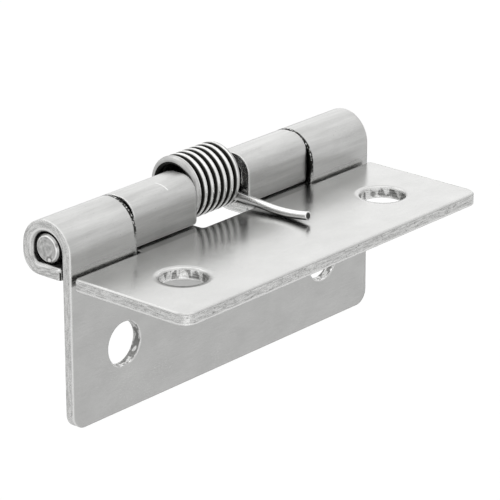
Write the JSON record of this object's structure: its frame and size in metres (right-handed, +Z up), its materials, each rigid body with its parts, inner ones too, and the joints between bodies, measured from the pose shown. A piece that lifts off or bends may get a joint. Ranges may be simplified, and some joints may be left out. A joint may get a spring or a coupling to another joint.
{
  "type": "spring loaded door hinge",
  "caption": "Small stainless butt hinge with rolled knuckles on a plain pin and a round wire torsion spring that swings one leaf open against the other.",
  "frame": {"origin": "midway between the two screw holes of the fixed leaf, on its mounting face", "axes": "+X along the pin, +Z up from the fixed leaf to the pin, -Y out of the mounting face of the fixed leaf, toward the open moving leaf"},
  "size_m": [0.06, 0.0298, 0.0298],
  "materials": {
    "leaf_steel": "mill finish stainless sheet with a soft sheen, faint rolling grain and fine scratches",
    "pin_steel": "plain drawn stainless rod with cropped grey ends",
    "spring_wire": "bright drawn stainless spring wire"
  },
  "bodies": {
    "fixed_side": {"fixed_leaf": "leaf_steel", "hinge_pin": "pin_steel", "torsion_spring": "spring_wire"},
    "moving_side": {"moving_leaf": "leaf_steel"}
  },
  "joints": [
    {"name": "leaf_hinge", "type": "hinge", "parent": "fixed_side", "child": "moving_side", "pos_m": [0, 0.0044, 0.0149], "axis": [-1, 0, 0], "range_deg": [0, 270], "stiffness_Nm_per_rad": 0.11, "springref_deg": -20.05, "deforming": ["torsion_spring"]}
  ]
}
